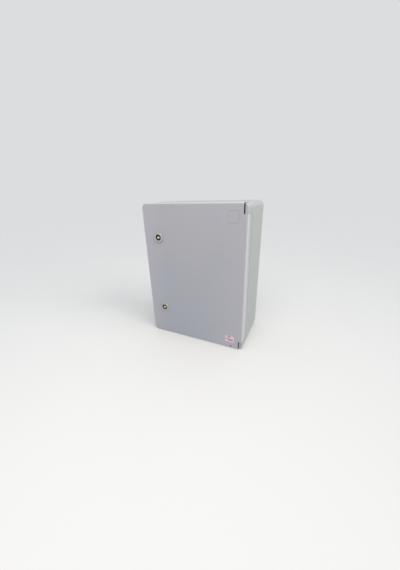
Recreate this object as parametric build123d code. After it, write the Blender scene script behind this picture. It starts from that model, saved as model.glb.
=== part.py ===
from build123d import *
import os

# Wall-mounting plastic enclosure with a hinged, lockable door, in millimetres.
# Facing the door, +X is right, +Y is away and +Z is up.
# A depth is measured backwards from the flat face of the door.

# Case
case_width = 300.0
case_height = 400.0
case_depth = 170.0
corner_radius = 15.0
case_wall = 3.0
back_wall = 3.5
rear_edge_radius = 5.0
flange_thickness = 3.0

# Sealing lip around the opening of the case
lip_inset = 20.0
lip_thickness = 3.0
lip_height = 3.8
lip_corner_radius = 10.0

# Door
door_depth = 37.0
door_thickness = 3.0
skirt_thickness = 3.0
front_edge_radius = 1.5
door_margin = 0.5
seam_gap = 1.8
seam_chamfer = 0.6

# Gasket and its channel behind the door
gasket_width = 9.0
gasket_thickness = 6.2
gasket_gap = 0.2
channel_wall = 2.0
channel_ledge = 1.2
channel_overlap = 0.6
web_thickness = 2.0
web_count = 4
web_pitch = 70.0
web_height = 17.0

# Hinge
ear_width = 8.2
ear_height = 25.0
ear_gap = 0.4
hinge_slit = 3.3
hinge_axis_depth = 5.5
notch_wall_depth = 33.0
pin_diameter = 4.0
pin_in_ear = 16.0
pin_in_door = 22.0
pin_press_clearance = 0.02
pin_running_clearance = 0.08
knuckle_radius = 5.0
knuckle_overrun = 2.5

# Marks moulded on the door, from its right-hand edge or its top edge
drain_slot_width = 3.4
drain_slot_height = 5.0
drain_slot_edge = 33.0
frame_width = 28.0
frame_height = 29.0
frame_side = 35.0
frame_top = 32.5
frame_line = 1.0
frame_depth = 0.5

# Sticker, from the right-hand edge and the bottom edge of the case
label_width = 26.0
label_height = 20.0
label_thickness = 0.2
label_corner = 1.0
label_side = 37.0
label_rise = 29.0

# Mounting plate and its fixings
plate_thickness = 2.0
plate_clearance = 4.5
plate_chamfer = 30.0
plate_fixing_inset = 50.0
boss_radius = 6.0
boss_height = 12.0
boss_rib_length = 22.0
boss_rib_thickness = 2.0
boss_rib_height = 9.0
insert_across_flats = 7.0
insert_length = 9.5
screw_radius = 2.5
screw_length = 12.0
screw_head_radius = 4.7
screw_head_height = 3.4
screw_head_chamfer = 1.2
screw_recess_width = 1.2
screw_recess_length = 5.0
screw_recess_depth = 1.8
washer_radius = 5.0
washer_thickness = 1.0
hole_clearance = 0.3
fit_clearance = 0.02

# Wall fixing
wall_hole_radius = 3.5
wall_hole_inset = 38.0
wall_pad_radius = 9.0
wall_pad_height = 2.5

# Locks
lock_edge = 48.0
lock_spacing = 218.0
bezel_radius = 14.5
bezel_thickness = 2.5
bezel_chamfer = 1.2
lock_seal_thickness = 0.7
lock_seal_margin = 0.6
barrel_radius = 11.0
barrel_flats = 20.0
barrel_clearance = 0.2
barrel_end = 26.0
nut_across_flats = 27.0
nut_thickness = 6.0
rotor_radius = 8.6
rotor_clearance = 0.12
rotor_sunk = 0.8
rotor_shoulder = 12.0
recess_radius = 7.2
recess_floor = 6.5
neck_radius = 5.8
shank_size = 8.0
o_ring_section = 1.8
key_pin_radius = 3.2
key_pin_sunk = 1.0
key_pin_root_radius = 1.8
key_pin_root = 4.0
key_bit_span = 9.6
key_bit_thickness = 2.2
key_bit_sunk = 2.0

# Lock cam, hanging down when the lock is open
cam_thickness = 3.0
cam_width = 16.0
cam_corner = 5.0
cam_tail = 9.0
cam_reach = 33.0
cam_bend_start = 11.5
cam_bend_end = 17.5
cam_bend_radius = 3.0
cam_gap = 0.5
cam_grip_clearance = 1.0
cam_screw_radius = 2.5
cam_screw_length = 10.0
cam_screw_head_radius = 4.5
cam_screw_head_height = 3.0
cam_washer_radius = 6.0
cam_washer_thickness = 1.0

# Places worked out from the sizes above
lock_proud = lock_seal_thickness + bezel_thickness
front_y = (lock_proud - case_depth) / 2
middle = case_height / 2
right_side = case_width / 2
case_front = door_depth + seam_gap
flange_back = case_front + flange_thickness
lip_front = case_front - lip_height
floor_depth = case_depth - back_wall
opening_inset = lip_inset + lip_thickness
channel_inset = lip_inset + lip_thickness / 2 - gasket_width / 2
gasket_face = lip_front - gasket_gap
gasket_back = gasket_face - gasket_thickness
channel_end = lip_front + channel_overlap
hinge_x = right_side - ear_width / 2
notch_x = right_side - ear_width - hinge_slit
notch_height = ear_height + ear_gap
boss_front = floor_depth - boss_height
plate_front = boss_front - plate_thickness
lock_x = lock_edge - right_side
rotor_end = rotor_shoulder - o_ring_section - 2 * fit_clearance
cam_front = barrel_end + cam_gap
cam_back = cam_front + cam_thickness
cam_tip_front = flange_back + cam_grip_clearance


def outline(inset, radius):
    size_x = case_width - 2 * inset
    size_z = case_height - 2 * inset
    return Pos(0, middle) * RectangleRounded(size_x, size_z, radius)


def shell_outline(inset):
    return outline(inset, corner_radius - inset)


def seal_outline(inset):
    # Concentric with the corners of the sealing lip
    return outline(inset, lip_corner_radius + lip_inset - inset)


def prism(sketch, near, far):
    # A sketch seen from the front, made solid between two depths
    plane = Plane.XZ.offset(-(front_y + near))
    return extrude(plane * sketch, amount=near - far)


def block(x_range, z_range, depth_range):
    size_x = x_range[1] - x_range[0]
    size_z = z_range[1] - z_range[0]
    centre = Pos((x_range[0] + x_range[1]) / 2, (z_range[0] + z_range[1]) / 2)
    return prism(centre * Rectangle(size_x, size_z), depth_range[0], depth_range[1])


def ring(outer_inset, inner_inset, near, far):
    return prism(seal_outline(outer_inset) - seal_outline(inner_inset), near, far)


def at_both_ends(shape):
    # The same feature at the top and, mirrored, at the bottom
    return shape + mirror(shape, about=Plane.XY.offset(middle))


def upright_rod(radius, low, high):
    rod = Cylinder(radius, high - low, align=(Align.CENTER, Align.CENTER, Align.MIN))
    return Pos(hinge_x, front_y + hinge_axis_depth, low) * rod


def disc(radius, near, far):
    # A round piece along the local Z axis
    body = Cylinder(radius, far - near, align=(Align.CENTER, Align.CENTER, Align.MIN))
    return Pos(0, 0, near) * body


def turned(*points):
    # A half section of radius and depth, turned about the local Z axis
    return revolve(Plane.XZ * make_face(Polyline(*points, close=True)), Axis.Z)


def backwards(x, z):
    # Turns a piece built along +Z to point backwards from the door face
    return Pos(x, front_y, z) * Rot(-90, 0, 0)


def capped_prism(inset, far):
    # The full outline with its front edge rounded
    solid = prism(shell_outline(inset), 0, far)
    return fillet(solid.faces().sort_by(Axis.Y)[0].edges(), front_edge_radius)


def fixing_points(inset):
    return [
        (side * (case_width / 2 - inset), middle + end * (case_height / 2 - inset))
        for side in (-1, 1)
        for end in (-1, 1)
    ]


def hinge_ears():
    ear_zone = block(
        (right_side - ear_width, right_side),
        (case_height - ear_height, case_height),
        (0, flange_back),
    )
    bore = upright_rod(
        pin_diameter / 2 + pin_press_clearance,
        case_height - ear_height,
        case_height - ear_height + pin_in_ear,
    )
    ear = capped_prism(0, flange_back) & ear_zone
    return at_both_ends(ear - bore)


def insert_hexagon(clearance):
    hexagon = RegularPolygon(insert_across_flats / 2 + clearance, 6, major_radius=False)
    return extrude(Pos(0, 0, boss_front) * hexagon, amount=insert_length + clearance)


def plate_bosses():
    bosses = Part()
    for x, z in fixing_points(plate_fixing_inset):
        post = disc(boss_radius, boss_front, floor_depth)
        rib_place = Pos(0, 0, floor_depth - boss_rib_height / 2)
        ribs = rib_place * Box(boss_rib_length, boss_rib_thickness, boss_rib_height)
        ribs += rib_place * Box(boss_rib_thickness, boss_rib_length, boss_rib_height)
        pocket = insert_hexagon(fit_clearance)
        bosses += backwards(x, z) * (post + ribs - pocket)
    return bosses


def case_body():
    outer = prism(shell_outline(0), case_front, case_depth)
    outer = fillet(outer.faces().sort_by(Axis.Y)[-1].edges(), rear_edge_radius)
    outer = chamfer(outer.faces().sort_by(Axis.Y)[0].edges(), seam_chamfer)
    hollow = prism(shell_outline(case_wall), flange_back, floor_depth)
    lip = prism(seal_outline(lip_inset), lip_front, flange_back)
    body = outer - hollow + lip
    body -= prism(seal_outline(opening_inset), lip_front, flange_back)
    body += hinge_ears()
    body += plate_bosses()
    for x, z in fixing_points(wall_hole_inset):
        body += backwards(x, z) * disc(wall_pad_radius, floor_depth - wall_pad_height, floor_depth)
        body -= backwards(x, z) * disc(wall_hole_radius, floor_depth - wall_pad_height, case_depth)
    return body


def gasket_channel():
    # Two ribs, each with a ledge on which the gasket lies
    outer_inset = channel_inset - channel_wall
    inner_inset = channel_inset + gasket_width + channel_wall
    outer_ledge = channel_inset + channel_ledge
    inner_ledge = channel_inset + gasket_width - channel_ledge
    channel = ring(outer_inset, outer_ledge, door_thickness, gasket_back)
    channel += ring(outer_inset, channel_inset, gasket_back, channel_end)
    channel += ring(inner_ledge, inner_inset, door_thickness, gasket_back)
    channel += ring(channel_inset + gasket_width, inner_inset, gasket_back, channel_end)
    return channel


def door_webs():
    # Thin webs that tie the skirt to the gasket channel
    skirt_inside = door_margin + skirt_thickness
    span = channel_inset - channel_wall - skirt_inside
    depths = (door_thickness, door_thickness + web_height)
    half = web_thickness / 2
    webs = Part()
    for index in range(web_count):
        place = (index - (web_count - 1) / 2) * web_pitch
        upright = block(
            (place - half, place + half),
            (case_height - skirt_inside - span, case_height - skirt_inside),
            depths,
        )
        webs += at_both_ends(upright)
        level = block(
            (right_side - skirt_inside - span, right_side - skirt_inside),
            (middle + place - half, middle + place + half),
            depths,
        )
        webs += level + mirror(level, about=Plane.YZ)
    return webs


def hinge_notch(wall, far):
    # Room for the ear, or the same room with a wall around it
    return block(
        (notch_x - wall, right_side),
        (case_height - notch_height - wall, case_height),
        (0, far),
    )


def door_panel():
    outer = capped_prism(door_margin, door_depth)
    outer = chamfer(outer.faces().sort_by(Axis.Y)[-1].edges(), seam_chamfer)
    inside = shell_outline(door_margin + skirt_thickness)
    door = outer - prism(inside, door_thickness, door_depth)
    door += gasket_channel()
    door += door_webs()
    notch_low = case_height - notch_height
    knuckle_low = notch_low - pin_in_door - knuckle_overrun
    corner = hinge_notch(skirt_thickness, notch_wall_depth)
    corner += upright_rod(knuckle_radius, knuckle_low, notch_low)
    door += at_both_ends(outer & corner)
    door -= at_both_ends(hinge_notch(0, case_front))
    bore = upright_rod(pin_diameter / 2 + pin_running_clearance, knuckle_low, notch_low)
    door -= at_both_ends(bore)
    # The slot drains the rim outside the gasket, so it starts level with the inside of the skirt
    drain_x = right_side - drain_slot_edge
    drain_low = door_margin + skirt_thickness
    door -= block(
        (drain_x - drain_slot_width / 2, drain_x + drain_slot_width / 2),
        (drain_low, drain_low + drain_slot_height),
        (0, door_thickness),
    )
    square = Rectangle(frame_width, frame_height)
    square -= Rectangle(frame_width - 2 * frame_line, frame_height - 2 * frame_line)
    square = Pos(right_side - frame_side, case_height - frame_top) * square
    door -= prism(square, 0, frame_depth)
    hole = barrel_section(barrel_clearance)
    for end in (-1, 1):
        place = Pos(lock_x, middle + end * lock_spacing / 2)
        door -= prism(place * hole, 0, door_thickness)
    return door


def door_gasket():
    return ring(channel_inset, channel_inset + gasket_width, gasket_back, gasket_face)


def hinge_pin():
    ear_low = case_height - ear_height
    return upright_rod(pin_diameter / 2, ear_low - pin_in_door, ear_low + pin_in_ear)


def label():
    sticker = RectangleRounded(label_width, label_height, label_corner)
    return prism(Pos(right_side - label_side, label_rise) * sticker, -label_thickness, 0)


def mounting_plate():
    size_x = case_width - 2 * (opening_inset + plate_clearance)
    size_z = case_height - 2 * (opening_inset + plate_clearance)
    sheet = Rectangle(size_x, size_z)
    sheet = chamfer(sheet.vertices(), plate_chamfer)
    plate = prism(Pos(0, middle) * sheet, plate_front, boss_front)
    for x, z in fixing_points(plate_fixing_inset):
        plate -= backwards(x, z) * disc(screw_radius + hole_clearance, plate_front, boss_front)
    return plate


def screw(radius, length, head_radius, head_height):
    # A pan-head screw with a crossed recess, its head towards -Z and its seat at zero
    shank = disc(radius, 0, length)
    head = disc(head_radius, -head_height, 0)
    head = chamfer(head.faces().sort_by(Axis.Z)[0].edges(), screw_head_chamfer)
    recess = Pos(0, 0, screw_recess_depth / 2 - head_height)
    head -= recess * Box(screw_recess_length, screw_recess_width, screw_recess_depth)
    head -= recess * Box(screw_recess_width, screw_recess_length, screw_recess_depth)
    return shank + head


def plate_fixings():
    washer = disc(washer_radius, plate_front - washer_thickness, plate_front)
    washer -= disc(screw_radius + hole_clearance, plate_front - washer_thickness, plate_front)
    insert = insert_hexagon(0)
    insert -= disc(screw_radius + fit_clearance, boss_front, boss_front + insert_length)
    bolt = screw(screw_radius, screw_length, screw_head_radius, screw_head_height)
    bolt = Pos(0, 0, plate_front - washer_thickness) * bolt
    pieces = {"plate_screws": bolt, "plate_washers": washer, "threaded_inserts": insert}
    places = [backwards(x, z) for x, z in fixing_points(plate_fixing_inset)]
    return {name: Compound([place * piece for place in places]) for name, piece in pieces.items()}


def barrel_section(clearance):
    # A round barrel with two flats that keep it from turning in the door
    radius = barrel_radius + clearance
    return Circle(radius) & Rectangle(2 * radius, barrel_flats + 2 * clearance)


def lock_housing():
    bezel = disc(bezel_radius, -lock_proud, -lock_seal_thickness)
    bezel = chamfer(bezel.faces().sort_by(Axis.Z)[0].edges(), bezel_chamfer)
    barrel = Pos(0, 0, -lock_seal_thickness) * barrel_section(0)
    housing = bezel + extrude(barrel, amount=barrel_end + lock_seal_thickness)
    housing -= disc(rotor_radius + rotor_clearance, -lock_proud, rotor_shoulder)
    return housing - disc(neck_radius + rotor_clearance, rotor_shoulder, barrel_end)


def lock_seal():
    washer = disc(bezel_radius - lock_seal_margin, -lock_seal_thickness, 0)
    return washer - disc(barrel_radius + barrel_clearance, -lock_seal_thickness, 0)


def lock_nut():
    hexagon = RegularPolygon(nut_across_flats / 2, 6, major_radius=False)
    nut = extrude(Pos(0, 0, door_thickness) * hexagon, amount=nut_thickness)
    return nut - disc(barrel_radius + fit_clearance, door_thickness, door_thickness + nut_thickness)


def lock_rotor():
    front = rotor_sunk - lock_proud
    rotor = turned(
        (recess_radius, front),
        (rotor_radius, front),
        (rotor_radius, rotor_end),
        (neck_radius, rotor_end),
        (neck_radius, barrel_end),
        (0, barrel_end),
        (0, recess_floor),
        (recess_radius, recess_floor),
    )
    shank_end = cam_back - hole_clearance
    shank = Rectangle(shank_size, shank_size)
    rotor += extrude(Pos(0, 0, barrel_end) * shank, amount=shank_end - barrel_end)
    rotor -= disc(key_pin_root_radius + fit_clearance, recess_floor, recess_floor + key_pin_root)
    screw_tip = cam_back + cam_washer_thickness - cam_screw_length
    return rotor - disc(cam_screw_radius + fit_clearance, screw_tip - hole_clearance, shank_end)


def lock_o_ring():
    # A square-cut ring, trapped between the end of the rotor and the shoulder of the housing
    middle_radius = (neck_radius + rotor_radius) / 2
    near = rotor_end + fit_clearance
    far = near + o_ring_section
    seal = disc(middle_radius + o_ring_section / 2, near, far)
    return seal - disc(middle_radius - o_ring_section / 2, near, far)


def lock_key_pin():
    pin = disc(key_pin_radius, key_pin_sunk - lock_proud, recess_floor)
    bit_front = key_bit_sunk - lock_proud
    bits = Rectangle(key_bit_span, key_bit_thickness)
    pin += extrude(Pos(0, 0, bit_front) * bits, amount=recess_floor - bit_front)
    return pin + disc(key_pin_root_radius, recess_floor, recess_floor + key_pin_root)


def lock_cam():
    base = cam_front + cam_thickness / 2
    tip = cam_tip_front + cam_thickness / 2
    path = FilletPolyline(
        (-cam_tail, base),
        (cam_bend_start, base),
        (cam_bend_end, tip),
        (cam_reach, tip),
        radius=cam_bend_radius,
    )
    strip = extrude(Plane.YZ * trace(path, cam_thickness), amount=cam_width / 2, both=True)
    plan = RectangleRounded(cam_width, cam_tail + cam_reach, cam_corner)
    plan = Pos(0, (cam_reach - cam_tail) / 2, cam_front) * plan
    cam = strip & extrude(plan, amount=cam_tip_front + cam_thickness - cam_front)
    hole = Rectangle(shank_size + 2 * hole_clearance, shank_size + 2 * hole_clearance)
    return cam - extrude(Pos(0, 0, cam_front) * hole, amount=cam_thickness)


def lock_cam_washer():
    washer = disc(cam_washer_radius, cam_back, cam_back + cam_washer_thickness)
    return washer - disc(cam_screw_radius + hole_clearance, cam_back, cam_back + cam_washer_thickness)


def lock_cam_screw():
    bolt = screw(cam_screw_radius, cam_screw_length, cam_screw_head_radius, cam_screw_head_height)
    return Pos(0, 0, cam_back + cam_washer_thickness) * Rot(180, 0, 0) * bolt


def lock_pieces():
    return {
        "housing": lock_housing(),
        "seal": lock_seal(),
        "nut": lock_nut(),
        "rotor": lock_rotor(),
        "o_ring": lock_o_ring(),
        "key_pin": lock_key_pin(),
        "cam": lock_cam(),
        "cam_washer": lock_cam_washer(),
        "cam_screw": lock_cam_screw(),
    }


def all_pieces():
    pin = hinge_pin()
    pieces = {
        "case_body": case_body(),
        "door_panel": door_panel(),
        "door_gasket": door_gasket(),
        "upper_hinge_pin": pin,
        "lower_hinge_pin": mirror(pin, about=Plane.XY.offset(middle)),
        "mounting_plate": mounting_plate(),
        "label": label(),
    }
    pieces.update(plate_fixings())
    for name, end in (("upper", 1), ("lower", -1)):
        place = backwards(lock_x, middle + end * lock_spacing / 2)
        for piece, shape in lock_pieces().items():
            pieces[f"{name}_lock_{piece}"] = place * shape
    return pieces


os.makedirs("parts", exist_ok=True)
for node, shape in all_pieces().items():
    export_step(shape, f"parts/{node}.step")
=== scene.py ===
import math

import bmesh
import bpy
from mathutils import Matrix, Vector


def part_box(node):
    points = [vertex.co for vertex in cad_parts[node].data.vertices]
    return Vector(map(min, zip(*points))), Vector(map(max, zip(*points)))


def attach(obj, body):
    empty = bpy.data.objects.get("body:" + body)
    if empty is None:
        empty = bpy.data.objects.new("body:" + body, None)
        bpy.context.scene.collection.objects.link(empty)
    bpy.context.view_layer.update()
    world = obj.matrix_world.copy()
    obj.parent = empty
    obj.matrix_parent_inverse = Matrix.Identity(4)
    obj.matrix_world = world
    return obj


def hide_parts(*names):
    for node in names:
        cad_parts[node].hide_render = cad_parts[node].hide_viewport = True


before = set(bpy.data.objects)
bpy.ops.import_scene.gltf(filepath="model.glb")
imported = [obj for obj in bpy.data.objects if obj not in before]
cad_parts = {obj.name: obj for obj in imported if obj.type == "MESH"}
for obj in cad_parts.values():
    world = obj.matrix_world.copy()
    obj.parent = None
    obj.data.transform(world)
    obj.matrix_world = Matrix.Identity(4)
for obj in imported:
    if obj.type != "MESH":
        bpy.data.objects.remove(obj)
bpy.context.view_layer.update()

lockEnds = ("upper", "lower")
print("frame loaded:", len(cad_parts), "pieces")


# Small helpers for materials

def startMaterial(name):
    material = bpy.data.materials.new(name)
    material.use_nodes = True
    tree = material.node_tree
    return material, tree, tree.nodes["Principled BSDF"]


def piecePoints(tree, centre=(0, 0, 0), stretch=(1, 1, 1)):
    # the piece's own coordinates in metres, counted from a centre
    coords = tree.nodes.new("ShaderNodeTexCoord")
    mapping = tree.nodes.new("ShaderNodeMapping")
    mapping.vector_type = "TEXTURE"
    mapping.inputs["Location"].default_value = centre
    mapping.inputs["Scale"].default_value = stretch
    tree.links.new(coords.outputs["Object"], mapping.inputs["Vector"])
    return mapping.outputs["Vector"]


def splitPoints(tree, points):
    split = tree.nodes.new("ShaderNodeSeparateXYZ")
    tree.links.new(points, split.inputs[0])
    return split.outputs


def noise(tree, points, size, detail=3.0, rough=0.55):
    # size is the width of one blotch in metres
    node = tree.nodes.new("ShaderNodeTexNoise")
    node.inputs["Scale"].default_value = 1.0 / size
    node.inputs["Detail"].default_value = detail
    node.inputs["Roughness"].default_value = rough
    tree.links.new(points, node.inputs["Vector"])
    return node.outputs["Fac"]


def cells(tree, points, size, output="Distance"):
    node = tree.nodes.new("ShaderNodeTexVoronoi")
    node.inputs["Scale"].default_value = 1.0 / size
    tree.links.new(points, node.inputs["Vector"])
    return node.outputs[output]


def spread(tree, source, fromLow, fromHigh, toLow, toHigh):
    node = tree.nodes.new("ShaderNodeMapRange")
    ends = {"From Min": fromLow, "From Max": fromHigh, "To Min": toLow, "To Max": toHigh}
    for name, value in ends.items():
        node.inputs[name].default_value = value
    tree.links.new(source, node.inputs["Value"])
    return node.outputs["Result"]


def sums(tree, operation, first, second=None, third=None):
    node = tree.nodes.new("ShaderNodeMath")
    node.operation = operation
    for slot, value in enumerate((first, second, third)):
        if isinstance(value, (int, float)):
            node.inputs[slot].default_value = value
        elif value is not None:
            tree.links.new(value, node.inputs[slot])
    return node.outputs[0]


def glossPatches(tree, points, look, detail=4.0):
    low, high = look["roughness"]
    return spread(tree, noise(tree, points, look["glossPatch"], detail), 0.3, 0.7, low, high)


def mixColours(tree, factor, first, second):
    node = tree.nodes.new("ShaderNodeMix")
    node.data_type = "RGBA"
    tree.links.new(factor, node.inputs[0])
    for slot, colour in ((6, first), (7, second)):
        if isinstance(colour, tuple):
            node.inputs[slot].default_value = (*colour, 1.0)
        else:
            tree.links.new(colour, node.inputs[slot])
    return node.outputs[2]


def raiseSurface(tree, height, depth, strength=1.0, under=None):
    # height from 0 to 1 stands for depth metres
    node = tree.nodes.new("ShaderNodeBump")
    node.inputs["Distance"].default_value = depth
    node.inputs["Strength"].default_value = strength
    tree.links.new(height, node.inputs["Height"])
    if under is not None:
        tree.links.new(under, node.inputs["Normal"])
    return node.outputs["Normal"]


def finishShader(tree, shader, colour=None, roughness=None, normal=None):
    for name, source in (("Base Color", colour), ("Roughness", roughness), ("Normal", normal)):
        if source is not None:
            tree.links.new(source, shader.inputs[name])


def coatNodes(names, material):
    for name in names:
        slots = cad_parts[name].data.materials
        slots.clear()
        slots.append(material)


def lockNodes(*parts):
    return [end + "_lock_" + part for end in lockEnds for part in parts]


# Small helpers for new pieces, with the distances in metres that count as touching
# and the digits of a metre by which places are sorted

weldGap = 0.000005
levelGap = 0.00001
cutGap = 0.0000001
sortDigits = 7


def lockAxis(end):
    low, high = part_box(end + "_lock_housing")
    return Vector(((low.x + high.x) / 2, low.y, (low.z + high.z) / 2))


def ringSpan(node, axis):
    # nearest and farthest reach of a round piece from its axis
    reach = [math.hypot(v.co.x - axis.x, v.co.z - axis.z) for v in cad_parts[node].data.vertices]
    return min(reach), max(reach)


def sectionLoop(bm, axis, points, closed=True):
    # points are (radius, y) beside an axis that runs along Y
    corners = [bm.verts.new((axis.x + radius, y, axis.z)) for radius, y in points]
    pairs = list(zip(corners, corners[1:]))
    if closed:
        pairs.append((corners[-1], corners[0]))
    return corners + [bm.edges.new(pair) for pair in pairs]


def inOrder(items, spot):
    items.index_update()
    ordered = sorted(items, key=lambda item: tuple(round(c, sortDigits) for c in spot(item)))
    rank = {item.index: place for place, item in enumerate(ordered)}
    items.sort(key=lambda item: rank[item.index])
    items.index_update()


def steadyOrder(bm):
    # merging leaves points, edges and faces in any order, so they are sorted by place
    inOrder(bm.verts, lambda v: v.co)
    inOrder(bm.edges, lambda e: e.verts[0].co + e.verts[1].co)
    inOrder(bm.faces, lambda f: f.calc_center_median())


def spinRound(bm, section, axis, steps):
    bmesh.ops.spin(bm, geom=section, cent=axis, axis=(0, 1, 0), dvec=(0, 0, 0), angle=math.tau,
                   steps=steps, use_merge=True)
    steadyOrder(bm)


def cutAway(bm, point, outwards):
    bmesh.ops.bisect_plane(bm, geom=bm.verts[:] + bm.edges[:] + bm.faces[:], dist=cutGap,
                           plane_co=point, plane_no=outwards, clear_outer=True)


def atLevel(item, y):
    return all(abs(v.co.y - y) < levelGap for v in item.verts)


def placePiece(bm, name, material, body, node, sharp=35):
    steadyOrder(bm)
    bmesh.ops.recalc_face_normals(bm, faces=bm.faces[:])
    for face in bm.faces:
        face.smooth = True
    mesh = bpy.data.meshes.new(name)
    bm.to_mesh(mesh)
    bm.free()
    mesh.set_sharp_from_angle(angle=math.radians(sharp))
    mesh.materials.append(material)
    piece = bpy.data.objects.new(name, mesh)
    bpy.context.scene.collection.objects.link(piece)
    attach(piece, body)
    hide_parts(node)


# Moulded ABS of the case and the door: fine spark-eroded grain, soft colour drift, and a painted shade
# towards the bottom;
# the outer walls carry a painted shade on the case, greener and darker, and a painted highlight on the
# door, lighter by the front edge, and the door's face carries painted light by its left edge and its lower
# right corner

mouldedSkin = {
    "blotch": 0.11,
    "scuff": 0.25,
    "scuffStretch": (0.02, 0.02, 0.3),
    "scuffDulling": 0.05,
    # rub: the size of the patches that vary both the worn shine and the painted light and shade on the
    # outer walls
    "rub": 0.018,
    "rubShine": 0.05,
    # the painted shade on the outer walls deepens from the first height down to the second
    "wallShadeHeight": (0.36, 0.04),
    "sink": 0.06,
    "sinkDepth": 0.00035,
    "grain": 0.0005,
    "grainDepth": 0.00003,
    "ior": 1.5,
}
casePlastic = {
    "colour": (0.425, 0.419, 0.424),
    # drift: the colour of the soft random drift, and of the painted shade that darkens the case towards
    # the bottom
    "driftAndShade": (0.404, 0.404, 0.41),
    "paintedShadeHeight": (0.45, -0.05),
    # walls and lowerWallShade: painted shade, the case's outer walls greener and darker, and darker still
    # lower down
    "paintedWalls": (0.424, 0.45, 0.421),
    "lowerWallShade": (0.374, 0.404, 0.387),
    "wallReach": (0.3, 0.4),
    "glossPatch": 0.035,
    "roughness": (0.5, 0.64),
    "edge": 0.005,
}
doorPlastic = {
    "colour": (0.425, 0.416, 0.442),
    # drift: the colour of the soft random drift, and of the painted bluish shade and reflection towards
    # the bottom of the door
    "driftAndShade": (0.403, 0.4145, 0.457),
    "paintedShadeHeight": (0.3, 0.12),
    # faded: the colour of the painted light on the face, by its left edge and towards its lower right
    # corner
    "paintedLightColour": (0.46, 0.4486, 0.481),
    "paintedLightLeft": (-0.085, -0.14),
    "leftShare": 0.7,
    "paintedLightRight": (-0.06, 0.12),
    "rightSlant": 0.5,
    # walls and lowerWallShade: painted highlight, the door's outer walls lighter by the front edge, less
    # so lower down
    "paintedWalls": (0.595, 0.593, 0.58),
    "lowerWallShade": (0.527, 0.53, 0.518),
    "wallReach": (0.006, 0.024),
    "glossPatch": 0.035,
    "roughness": (0.34, 0.46),
    "edge": 0.004,
}


def outerWalls(tree, box, look):
    # 1 on the walls round the front, fading to 0 towards the face and with depth
    low, high = box
    half = (high - low) / 2
    x, y, z = splitPoints(tree, piecePoints(tree, (low.x + half.x, low.y, low.z + half.z)))
    across = sums(tree, "SUBTRACT", sums(tree, "ABSOLUTE", x), half.x - look["edge"])
    along = sums(tree, "SUBTRACT", sums(tree, "ABSOLUTE", z), half.z - look["edge"])
    rim = spread(tree, sums(tree, "MAXIMUM", across, along), 0.0, look["edge"], 0.0, 1.0)
    return sums(tree, "MULTIPLY", rim, spread(tree, y, *look["wallReach"], 1.0, 0.0))


# Painted shade in the slits beside the hinge ears, darkest just behind the door's face and fading with
# depth; distances from the outside of the case and from the door's face

hingeSlit = {
    "side": (0.008, 0.0117),
    "end": 0.0258,
    "skin": 0.0012,
    "paintedFade": (0.008, 0.034),
    # grime: the colour of the painted shade in the slits
    "slitShadeColour": (0.04, 0.04, 0.042),
}


def slitShadeMask(tree, look):
    low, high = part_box("case_body")
    half = (high.z - low.z) / 2
    x, y, z = splitPoints(tree, piecePoints(tree, (high.x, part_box("door_panel")[0].y, low.z + half)))
    near, far = look["side"]
    across = sums(tree, "COMPARE", x, -(near + far) / 2, (far - near) / 2)
    behindSkin = sums(tree, "GREATER_THAN", y, look["skin"])
    deep = sums(tree, "MULTIPLY", behindSkin, spread(tree, y, *look["paintedFade"], 1.0, 0.0))
    ends = sums(tree, "GREATER_THAN", sums(tree, "ABSOLUTE", z), half - look["end"])
    return sums(tree, "MULTIPLY", sums(tree, "MULTIPLY", across, deep), ends)


def paintedLightParts(tree, x, z, look):
    # 1 where the face carries the most painted light
    left = spread(tree, x, *look["paintedLightLeft"], 0.0, look["leftShare"])
    slant = sums(tree, "SUBTRACT", x, sums(tree, "MULTIPLY", z, look["rightSlant"]))
    return sums(tree, "MAXIMUM", left, spread(tree, slant, *look["paintedLightRight"], 0.0, 1.0))


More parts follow.
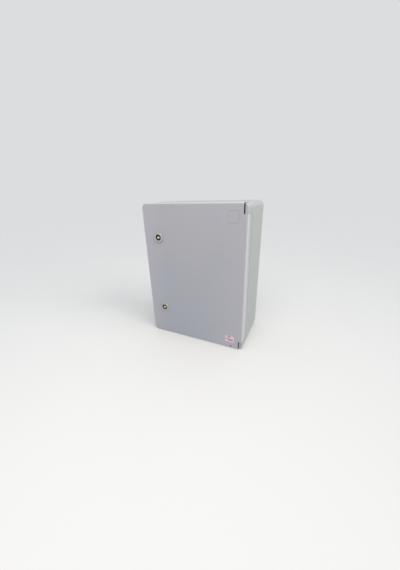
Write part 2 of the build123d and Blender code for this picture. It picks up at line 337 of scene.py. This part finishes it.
def mouldedPlastic(name, look, skin, box):
    material, tree, shader = startMaterial(name)
    points = piecePoints(tree)
    place = splitPoints(tree, points)
    blotches = spread(tree, noise(tree, points, skin["blotch"], 4.0), 0.35, 0.65, -0.4, 0.4)
    # a painted shade grows towards the bottom, and random blotches add a soft tone drift
    driftAndShade = sums(tree, "ADD", spread(tree, place["Z"], *look["paintedShadeHeight"], 0.0, 1.0), blotches)
    scuffs = noise(tree, piecePoints(tree, stretch=skin["scuffStretch"]), skin["scuff"], 5.0, 0.7)
    scuffs = spread(tree, scuffs, 0.58, 0.72, 0.0, 1.0)
    # patches that vary the worn shine and the painted light and shade on the outer walls
    wearAndLightPatches = spread(tree, noise(tree, points, skin["rub"], 4.0), 0.3, 0.7, 0.65, 1.0)
    rim = sums(tree, "MULTIPLY", outerWalls(tree, box, look), wearAndLightPatches)
    colour = mixColours(tree, driftAndShade, look["colour"], look["driftAndShade"])
    if "paintedLightColour" in look:
        # painted light on the door's face by its left edge and its lower right corner
        paintedFade = paintedLightParts(tree, place["X"], place["Z"], look)
        colour = mixColours(tree, paintedFade, colour, look["paintedLightColour"])
    # painted light and shade on the outer walls: lighter at the top, darker lower down
    height = spread(tree, place["Z"], *skin["wallShadeHeight"], 0.0, 1.0)
    paintedWalls = mixColours(tree, height, look["paintedWalls"], look["lowerWallShade"])
    colour = mixColours(tree, rim, colour, paintedWalls)
    # painted shade in the slits beside the hinge ears
    colour = mixColours(tree, slitShadeMask(tree, hingeSlit), colour, hingeSlit["slitShadeColour"])
    rough = glossPatches(tree, points, look)
    rough = sums(tree, "ADD", rough, sums(tree, "MULTIPLY", scuffs, skin["scuffDulling"]))
    rough = sums(tree, "SUBTRACT", rough, sums(tree, "MULTIPLY", rim, skin["rubShine"]))
    normal = raiseSurface(tree, noise(tree, points, skin["sink"], 2.0), skin["sinkDepth"], 0.35)
    normal = raiseSurface(tree, noise(tree, points, skin["grain"], 2.0), skin["grainDepth"], 0.7, normal)
    finishShader(tree, shader, colour, rough, normal)
    shader.inputs["IOR"].default_value = skin["ior"]
    return material


coatNodes(["case_body"], mouldedPlastic("case abs", casePlastic, mouldedSkin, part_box("case_body")))
coatNodes(["door_panel"], mouldedPlastic("door abs", doorPlastic, mouldedSkin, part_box("door_panel")))
print("moulded plastic done")


# Satin nickel of the lock housings and key pins: turned rings about the lock axis

waveWidth = 0.314  # width of one ring of the wave texture at scale 1

nickelLook = {
    "colour": (0.5575, 0.556, 0.53),
    "dull": (0.491, 0.489, 0.463),
    "tarnish": 0.006,
    "ring": 0.00035,
    "ringDepth": 0.00002,
    "glossPatch": 0.003,
    "roughness": (0.68, 0.84),
}
pinNickel = {
    "colour": (0.8, 0.78, 0.72),
    "dull": (0.68, 0.66, 0.6),
    "tarnish": 0.006,
    "ring": 0.0004,
    "ringDepth": 0.00002,
    "glossPatch": 0.003,
    "roughness": (0.26, 0.4),
}


def turnedNickel(name, look, axis):
    material, tree, shader = startMaterial(name)
    points = piecePoints(tree, axis)
    rings = tree.nodes.new("ShaderNodeTexWave")
    rings.wave_type = "RINGS"
    rings.rings_direction = "Y"
    rings.inputs["Scale"].default_value = waveWidth / look["ring"]
    rings.inputs["Distortion"].default_value = 0.6
    rings.inputs["Detail"].default_value = 2.0
    tree.links.new(points, rings.inputs["Vector"])
    tarnish = spread(tree, noise(tree, points, look["tarnish"], 5.0, 0.65), 0.42, 0.66, 0.0, 1.0)
    colour = mixColours(tree, tarnish, look["colour"], look["dull"])
    rough = glossPatches(tree, points, look)
    normal = raiseSurface(tree, rings.outputs["Fac"], look["ringDepth"], 0.6)
    finishShader(tree, shader, colour, rough, normal)
    shader.inputs["Metallic"].default_value = 1.0
    return material


# Lock housing: the bezel of the solid, and a barrel with a cut thread and two flats, sizes in metres

housingShape = {
    "bore": 0.00872,
    "neck": 0.00592,
    "shoulder": 0.012,
    "barrel": 0.011,
    "flat": 0.01,
    "pitch": 0.0015,
    "tooth": (0.15, 0.45, 0.7),  # end of the crest, start and end of the root, as shares of the pitch
    "threadDepth": 0.0006,
    "bezelChamfer": 0.0012,
    "softEdge": 0.0003,
    "steps": 72,
}


def threadedTube(bm, look, axis, start, end):
    # one profile with a tooth to each pitch, swept round once while it climbs one pitch
    pitch = look["pitch"]
    crest = look["barrel"]
    root = crest - look["threadDepth"]
    crestEnd, rootStart, rootEnd = [share * pitch for share in look["tooth"]]
    teeth = math.ceil((end - start) / pitch) + 3
    profile = []
    for tooth in range(teeth):
        base = start + (tooth - 2) * pitch
        profile += [(crest, base), (crest, base + crestEnd)]
        profile += [(root, base + rootStart), (root, base + rootEnd)]
    section = sectionLoop(bm, axis, profile, closed=False)
    bmesh.ops.spin(bm, geom=section, cent=axis, axis=(0, 1, 0), dvec=(0, pitch / look["steps"], 0),
                   angle=math.tau, steps=look["steps"], use_merge=False)
    bmesh.ops.remove_doubles(bm, verts=bm.verts[:], dist=weldGap)
    for place, away in ((start, -1), (end, 1)):
        cutAway(bm, (0, place, 0), (0, away, 0))
    steadyOrder(bm)


def fillAcross(bm, edges):
    bmesh.ops.triangle_fill(bm, edges=edges, normal=(0, 1, 0), use_beauty=True, use_dissolve=False)


def lockHousing(end, look, material):
    node = end + "_lock_housing"
    axis = lockAxis(end)
    low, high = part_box(node)
    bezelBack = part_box(end + "_lock_seal")[0].y
    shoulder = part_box("door_panel")[0].y + look["shoulder"]
    bm = bmesh.new()
    # the barrel as a closed tube with its two flats
    threadedTube(bm, look, axis, bezelBack, high.y)
    bore = [(look["bore"], bezelBack), (look["bore"], shoulder)]
    bore += [(look["neck"], shoulder), (look["neck"], high.y)]
    spinRound(bm, sectionLoop(bm, axis, bore, closed=False), axis, look["steps"])
    for place in (bezelBack, high.y):
        fillAcross(bm, [e for e in bm.edges if e.is_boundary and atLevel(e, place)])
    for side in (-1, 1):
        cutAway(bm, (0, 0, axis.z + side * look["flat"]), (0, 0, side))
        steadyOrder(bm)
        bmesh.ops.holes_fill(bm, edges=[e for e in bm.edges if e.is_boundary], sides=0)
    # the front of the tube opens into the bezel
    bmesh.ops.delete(bm, geom=[f for f in bm.faces if atLevel(f, bezelBack)], context="FACES")
    radius = (high.x - low.x) / 2
    chamfer = look["bezelChamfer"]
    bezel = [(look["bore"], bezelBack), (look["bore"], low.y), (radius - chamfer, low.y)]
    bezel += [(radius, low.y + chamfer), (radius, bezelBack)]
    section = sectionLoop(bm, axis, bezel, closed=False)
    bmesh.ops.bevel(bm, geom=section[1:4], offset=look["softEdge"], offset_type="OFFSET",
                    affect="VERTICES", segments=2, profile=0.5, material=-1)
    loose = [v for v in bm.verts if not v.link_faces]
    spinRound(bm, loose + [e for e in bm.edges if not e.link_faces], axis, look["steps"])
    bmesh.ops.remove_doubles(bm, verts=bm.verts[:], dist=weldGap)
    steadyOrder(bm)
    fillAcross(bm, [e for e in bm.edges if e.is_boundary])
    placePiece(bm, end + "LockHousing", material, "door", node)


for end in lockEnds:
    lockHousing(end, housingShape, turnedNickel(end + " lock nickel", nickelLook, lockAxis(end)))
    coatNodes([end + "_lock_key_pin"], turnedNickel(end + " pin nickel", pinNickel, lockAxis(end)))
print("lock housings done")


# Black plastic of the rotors, with the dust that settles in a key hole

rotorLook = {
    "colour": (0.042, 0.042, 0.032),
    "dust": (0.115, 0.11, 0.085),
    "dustPatch": 0.004,
    "grain": 0.0004,
    "grainDepth": 0.00003,
    "glossPatch": 0.002,
    "roughness": (0.32, 0.5),
}


def blackPlastic(name, look):
    material, tree, shader = startMaterial(name)
    points = piecePoints(tree)
    dust = spread(tree, noise(tree, points, look["dustPatch"], 6.0, 0.7), 0.45, 0.72, 0.0, 0.8)
    rough = glossPatches(tree, points, look)
    normal = raiseSurface(tree, noise(tree, points, look["grain"], 2.0), look["grainDepth"], 0.7)
    finishShader(tree, shader, mixColours(tree, dust, look["colour"], look["dust"]), rough, normal)
    return material


coatNodes(lockNodes("rotor"), blackPlastic("rotor black", rotorLook))


# Rubber of the lock seals and rings, with rounded corners in place of the plain solids

rubberLook = {
    "colour": (0.016, 0.016, 0.016),
    "bloom": (0.05, 0.05, 0.052),
    "bloomPatch": 0.005,
    "grain": 0.0006,
    "grainDepth": 0.00004,
    "glossPatch": 0.003,
    "roughness": (0.62, 0.82),
    "corners": {"seal": 0.0002, "o_ring": 0.0004},
    "cornerSteps": 3,
    "steps": 72,
}


def sealRubber(name, look):
    material, tree, shader = startMaterial(name)
    points = piecePoints(tree)
    bloom = spread(tree, noise(tree, points, look["bloomPatch"], 5.0, 0.7), 0.45, 0.75, 0.0, 0.8)
    rough = glossPatches(tree, points, look, 3.0)
    normal = raiseSurface(tree, noise(tree, points, look["grain"], 3.0), look["grainDepth"], 0.8)
    finishShader(tree, shader, mixColours(tree, bloom, look["colour"], look["bloom"]), rough, normal)
    return material


def rubberRing(end, part, body, look, material):
    node = end + "_lock_" + part
    axis = lockAxis(end)
    low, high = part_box(node)
    inner, outer = ringSpan(node, axis)
    bm = bmesh.new()
    section = sectionLoop(bm, axis, [(inner, low.y), (outer, low.y), (outer, high.y), (inner, high.y)])
    bmesh.ops.bevel(bm, geom=section[:4], offset=look["corners"][part], offset_type="OFFSET",
                    affect="VERTICES", segments=look["cornerSteps"], profile=0.5, material=-1)
    spinRound(bm, bm.verts[:] + bm.edges[:], axis, look["steps"])
    name = end + part.title().replace("_", "") + "Rubber"
    placePiece(bm, name, material, body, node)


rubber = sealRubber("seal rubber", rubberLook)
for end in lockEnds:
    rubberRing(end, "seal", "door", rubberLook, rubber)
    rubberRing(end, "o_ring", end + "_lock", rubberLook, rubber)
print("rubber rings done")


# Zinc-plated steel of the cams, nuts, screws and washers

zincLook = {
    "colour": (0.6, 0.61, 0.63),
    "stain": (0.5, 0.49, 0.44),
    "stainPatch": 0.012,
    "drawMark": 0.0012,
    "drawDepth": 0.00003,
    "drawStretch": (0.03, 1.0, 1.0),
    "glossPatch": 0.004,
    "roughness": (0.26, 0.46),
}


def zincPlate(name, look):
    material, tree, shader = startMaterial(name)
    points = piecePoints(tree)
    stain = spread(tree, noise(tree, points, look["stainPatch"], 5.0, 0.65), 0.45, 0.72, 0.0, 1.0)
    rough = glossPatches(tree, points, look)
    drawn = noise(tree, piecePoints(tree, stretch=look["drawStretch"]), look["drawMark"], 3.0)
    colour = mixColours(tree, stain, look["colour"], look["stain"])
    finishShader(tree, shader, colour, rough, raiseSurface(tree, drawn, look["drawDepth"], 0.6))
    shader.inputs["Metallic"].default_value = 1.0
    return material


zinc = zincPlate("zinc plate", zincLook)
coatNodes(lockNodes("nut", "cam", "cam_washer", "cam_screw") + ["plate_screws", "plate_washers"], zinc)


# Galvanised sheet of the mounting plate: spangle of flat crystals

sheetLook = {
    "crystal": 0.007,
    "crystalDepth": 0.00003,
    "wander": 0.006,
    "ripples": 90.0,
    "feather": 0.002,
    "featherStretch": (1.0, 1.0, 0.2),
    "featherShare": 0.25,
    "pale": (0.62, 0.63, 0.645),
    "dark": (0.49, 0.5, 0.515),
    "roughness": (0.3, 0.5),
}


def galvanisedSheet(name, look):
    material, tree, shader = startMaterial(name)
    points = piecePoints(tree)
    wander = tree.nodes.new("ShaderNodeVectorMath")
    wander.operation = "MULTIPLY_ADD"
    wander.inputs[1].default_value = (look["wander"],) * 3
    ripple = tree.nodes.new("ShaderNodeTexNoise")
    ripple.inputs["Scale"].default_value = look["ripples"]
    tree.links.new(points, ripple.inputs["Vector"])
    tree.links.new(ripple.outputs["Color"], wander.inputs[0])
    tree.links.new(points, wander.inputs[2])
    crystal = splitPoints(tree, cells(tree, wander.outputs[0], look["crystal"], "Color"))[0]
    feather = noise(tree, piecePoints(tree, stretch=look["featherStretch"]), look["feather"], 4.0)
    share = look["featherShare"]
    flat = sums(tree, "MULTIPLY", crystal, 1 - share)
    shade = sums(tree, "ADD", flat, sums(tree, "MULTIPLY", feather, share))
    low, high = look["roughness"]
    finishShader(tree, shader, mixColours(tree, shade, look["dark"], look["pale"]),
                 spread(tree, shade, 0.1, 0.9, high, low),
                 raiseSurface(tree, crystal, look["crystalDepth"], 0.5))
    shader.inputs["Metallic"].default_value = 1.0
    return material


coatNodes(["mounting_plate"], galvanisedSheet("galvanised sheet", sheetLook))


# Turned brass of the inserts and ground steel of the hinge pins

toolMarks = {"mark": 0.0006, "markDepth": 0.00002, "dullPatch": 0.004}
brassLook = {
    "colour": (0.68, 0.48, 0.2),
    "dull": (0.5, 0.34, 0.15),
    "markStretch": (6.0, 0.4, 6.0),
    "roughness": (0.25, 0.42),
}
pinLook = {
    "colour": (0.56, 0.56, 0.57),
    "dull": (0.42, 0.42, 0.43),
    "markStretch": (6.0, 6.0, 0.4),
    "roughness": (0.2, 0.36),
}


def workedMetal(name, look, tool):
    material, tree, shader = startMaterial(name)
    marks = noise(tree, piecePoints(tree, stretch=look["markStretch"]), tool["mark"], 3.0)
    dull = noise(tree, piecePoints(tree), tool["dullPatch"], 5.0, 0.65)
    dull = spread(tree, dull, 0.4, 0.7, 0.0, 1.0)
    finishShader(tree, shader, mixColours(tree, dull, look["colour"], look["dull"]),
                 spread(tree, marks, 0.3, 0.7, *look["roughness"]),
                 raiseSurface(tree, marks, tool["markDepth"], 0.6))
    shader.inputs["Metallic"].default_value = 1.0
    return material


coatNodes(["threaded_inserts"], workedMetal("insert brass", brassLook, toolMarks))
coatNodes(["upper_hinge_pin", "lower_hinge_pin"], workedMetal("ground steel", pinLook, toolMarks))
print("metals done")


# Printed sticker: pale pink film with plain red bars

stickerLook = {
    "film": (0.77, 0.625, 0.655),
    "worn": (0.66, 0.53, 0.56),
    "ink": (0.34, 0.05, 0.08),
    "inkFleck": 0.0016,
    "wearPatch": 0.007,
    "crease": 0.005,
    "creaseDepth": 0.0001,
    "glossPatch": 0.004,
    "roughness": (0.3, 0.45),
    # x, z, width and height of each bar in millimetres from the sticker's middle
    "bars": [
        (-1.4, 6.9, 7.0, 3.6),
        (-8.2, 0.8, 5.4, 3.4),
        (0.6, -0.9, 10.5, 2.8),
        (-1.0, -4.6, 3.6, 2.6),
        (6.4, -4.0, 6.4, 3.4),
    ],
}


def printedFilm(name, look, box):
    material, tree, shader = startMaterial(name)
    low, high = box
    points = piecePoints(tree, (low + high) / 2)
    place = splitPoints(tree, points)
    ink = None
    for barX, barZ, width, height in look["bars"]:
        across = sums(tree, "COMPARE", place["X"], barX / 1000, width / 2000)
        upright = sums(tree, "COMPARE", place["Z"], barZ / 1000, height / 2000)
        bar = sums(tree, "MULTIPLY", across, upright)
        ink = bar if ink is None else sums(tree, "MAXIMUM", ink, bar)
    fading = spread(tree, noise(tree, points, look["inkFleck"], 4.0, 0.7), 0.32, 0.6, 0.55, 1.0)
    ink = sums(tree, "MULTIPLY", ink, fading)
    wear = spread(tree, noise(tree, points, look["wearPatch"], 5.0), 0.4, 0.7, 0.0, 1.0)
    colour = mixColours(tree, ink, mixColours(tree, wear, look["film"], look["worn"]), look["ink"])
    rough = glossPatches(tree, points, look, 3.0)
    normal = raiseSurface(tree, noise(tree, points, look["crease"], 3.0), look["creaseDepth"], 0.4)
    finishShader(tree, shader, colour, rough, normal)
    return material


coatNodes(["label"], printedFilm("sticker film", stickerLook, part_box("label")))
print("sticker done")


# Foam gasket: a domed bead in the door's channel, with the line that the lip of the case presses into it

gasket = {
    "width": 0.009,
    "corner": 0.013,
    "cornerSteps": 12,
    "dome": 0.0022,
    "domeSteps": 4,
    "pressWidth": 0.0034,
    "pressSlope": 0.0005,
    "pressDepth": 0.0004,
    "rimAngle": 60,
    "sharp": 50,
    "foam": (0.03, 0.03, 0.032),
    "pore": (0.008, 0.008, 0.009),
    "cell": 0.0009,
    "cellDepth": 0.0002,
    "glossPatch": 0.02,
    "roughness": (0.72, 0.9),
}


def gasketFoam(name, look):
    material, tree, shader = startMaterial(name)
    points = piecePoints(tree)
    pores = spread(tree, cells(tree, points, look["cell"]), 0.1, 0.7, 0.0, 1.0)
    finishShader(tree, shader, mixColours(tree, pores, look["foam"], look["pore"]),
                 glossPatches(tree, points, look), raiseSurface(tree, pores, look["cellDepth"], 0.7))
    return material


def gasketBead(look):
    low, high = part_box("door_gasket")
    size = high - low
    middle = (low + high) / 2
    bm = bmesh.new()
    bmesh.ops.create_grid(bm, x_segments=1, y_segments=1, size=0.5)
    bmesh.ops.scale(bm, vec=(size.x, size.z, 1.0), verts=bm.verts[:])
    upright = Matrix.Rotation(math.radians(90), 3, "X")
    bmesh.ops.rotate(bm, cent=(0, 0, 0), matrix=upright, verts=bm.verts[:])
    bmesh.ops.translate(bm, vec=(middle.x, low.y, middle.z), verts=bm.verts[:])
    bmesh.ops.bevel(bm, geom=bm.verts[:], offset=look["corner"], offset_type="OFFSET", affect="VERTICES",
                    segments=look["cornerSteps"], profile=0.5, material=-1)
    panel = bm.faces[:]
    bmesh.ops.inset_region(bm, faces=panel, thickness=look["width"], use_boundary=True,
                           use_even_offset=True)
    bmesh.ops.delete(bm, geom=panel, context="FACES")
    raised = bmesh.ops.extrude_face_region(bm, geom=bm.faces[:])["geom"]
    raised = [v for v in raised if isinstance(v, bmesh.types.BMVert)]
    bmesh.ops.translate(bm, vec=(0, size.y, 0), verts=raised)
    bmesh.ops.recalc_face_normals(bm, faces=bm.faces[:])
    top = [f for f in bm.faces if f.normal.y > 0.9]
    # the pressed line along the middle of the face
    margin = (look["width"] - look["pressWidth"]) / 2 - look["pressSlope"]
    bmesh.ops.inset_region(bm, faces=top, thickness=margin, use_even_offset=True)
    bmesh.ops.inset_region(bm, faces=top, thickness=look["pressSlope"], depth=-look["pressDepth"],
                           use_even_offset=True)
    steep = math.radians(look["rimAngle"])
    rims = [e for e in bm.edges if atLevel(e, high.y) and e.calc_face_angle(0) > steep]
    bmesh.ops.bevel(bm, geom=rims, offset=look["dome"], offset_type="OFFSET", affect="EDGES",
                    segments=look["domeSteps"], profile=0.5, material=-1)
    foam = gasketFoam("gasket foam", look)
    placePiece(bm, "gasketBead", foam, "door", "door_gasket", look["sharp"])


gasketBead(gasket)
print("gasket done")


# Soft edges on the screws and the small pieces of the locks, whose solids have plain corners

softEdges = {
    "widths": {"key_pin": 0.0003, "nut": 0.0005, "cam": 0.0004, "cam_screw": 0.0003, "rotor": 0.0002},
    "screwWidth": 0.0003,
    "weld": 0.00001,
    "segments": 2,
    "sharp": 35,
}


def softenEdges(name, look, width):
    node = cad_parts[name]
    weld = node.modifiers.new("joinCorners", "WELD")
    weld.merge_threshold = look["weld"]
    edges = node.modifiers.new("softEdges", "BEVEL")
    edges.width = width
    edges.segments = look["segments"]
    edges.limit_method = "ANGLE"
    edges.angle_limit = math.radians(look["sharp"])
    edges.harden_normals = True


for part, width in softEdges["widths"].items():
    for name in lockNodes(part):
        softenEdges(name, softEdges, width)
softenEdges("plate_screws", softEdges, softEdges["screwWidth"])
print("edges softened")


# Pale studio floor, even sky light, a broad soft sun from the right and a lamp above the door

floor = {
    "radius": 9.0,
    "seen": (0.745, 0.732, 0.712),
    "mottle": (0.725, 0.712, 0.692),
    "bounce": (0.4, 0.4, 0.4),
    "mottlePatch": 0.4,
    "roughness": 0.9,
    "shine": 0.1,
    "segments": 96,
}


def directRays(tree):
    # 1 for what is seen straight, in a mirror or through glass, 0 for scattered light
    path = tree.nodes.new("ShaderNodeLightPath")
    seen = sums(tree, "MAXIMUM", path.outputs["Is Camera Ray"], path.outputs["Is Transmission Ray"])
    return sums(tree, "MAXIMUM", seen, path.outputs["Is Glossy Ray"])


def studioFloor(look):
    bm = bmesh.new()
    bmesh.ops.create_circle(bm, cap_ends=True, segments=look["segments"], radius=look["radius"])
    mesh = bpy.data.meshes.new("studioFloor")
    bm.to_mesh(mesh)
    bm.free()
    ground = bpy.data.objects.new("studioFloor", mesh)
    bpy.context.scene.collection.objects.link(ground)
    material, tree, shader = startMaterial("studio paper")
    mottle = noise(tree, piecePoints(tree), look["mottlePatch"], 3.0)
    paper = mixColours(tree, mottle, look["seen"], look["mottle"])
    finishShader(tree, shader, mixColours(tree, directRays(tree), look["bounce"], paper))
    shader.inputs["Roughness"].default_value = look["roughness"]
    shader.inputs["Specular IOR Level"].default_value = look["shine"]
    mesh.materials.append(material)


sky = {"light": (0.745, 0.785, 0.835), "backdrop": (0.71, 0.723, 0.733)}


def studioSky(look):
    world = bpy.data.worlds.new("studioSky")
    bpy.context.scene.world = world
    world.use_nodes = True
    tree = world.node_tree
    colour = mixColours(tree, directRays(tree), look["light"], look["backdrop"])
    tree.links.new(colour, tree.nodes["Background"].inputs["Color"])


sun = {"toward": (0.95, -0.12, 0.55), "spread": 40, "colour": (1.0, 0.98, 0.94), "power": 1.4}
topLamp = {
    "place": (0.2, -0.62, 1.02),
    "aim": (0.0, -0.08, 0.3),
    "size": 0.7,
    "colour": (1.0, 0.95, 0.88),
    "power": 4.3,
}


def addLight(name, data, place, toward):
    lamp = bpy.data.objects.new(name, data)
    facing = (-Vector(toward)).to_track_quat("-Z", "Y")
    lamp.matrix_world = Matrix.Translation(place) @ facing.to_matrix().to_4x4()
    bpy.context.scene.collection.objects.link(lamp)


def softSun(look):
    data = bpy.data.lights.new("softSun", "SUN")
    data.angle = math.radians(look["spread"])
    data.color = look["colour"]
    data.energy = look["power"]
    addLight("softSun", data, look["toward"], look["toward"])


def softLamp(look):
    data = bpy.data.lights.new("topLamp", "AREA")
    data.shape = "DISK"
    data.size = look["size"]
    data.color = look["colour"]
    data.energy = look["power"]
    addLight("topLamp", data, look["place"], Vector(look["place"]) - Vector(look["aim"]))


studioFloor(floor)
studioSky(sky)
softSun(sun)
softLamp(topLamp)


# The photograph's view, angles in degrees

photoView = {
    "place": (0.2785, -0.6035, 0.4184),
    "yaw": 26.15,
    "pitch": -22.05,
    "roll": -1.58,
    "lens": 14.13,
    "near": 0.01,
}


def photoCamera(look):
    data = bpy.data.cameras.new("photoCamera")
    data.lens = look["lens"]
    data.clip_start = look["near"]
    camera = bpy.data.objects.new("photoCamera", data)
    turn = Matrix.Rotation(math.radians(look["yaw"]), 4, "Z")
    turn = turn @ Matrix.Rotation(math.radians(90 + look["pitch"]), 4, "X")
    turn = turn @ Matrix.Rotation(math.radians(look["roll"]), 4, "Z")
    camera.matrix_world = Matrix.Translation(look["place"]) @ turn
    bpy.context.scene.collection.objects.link(camera)
    bpy.context.scene.camera = camera


photoCamera(photoView)
bpy.context.scene.view_settings.view_transform = "Standard"
print("stage and camera done")
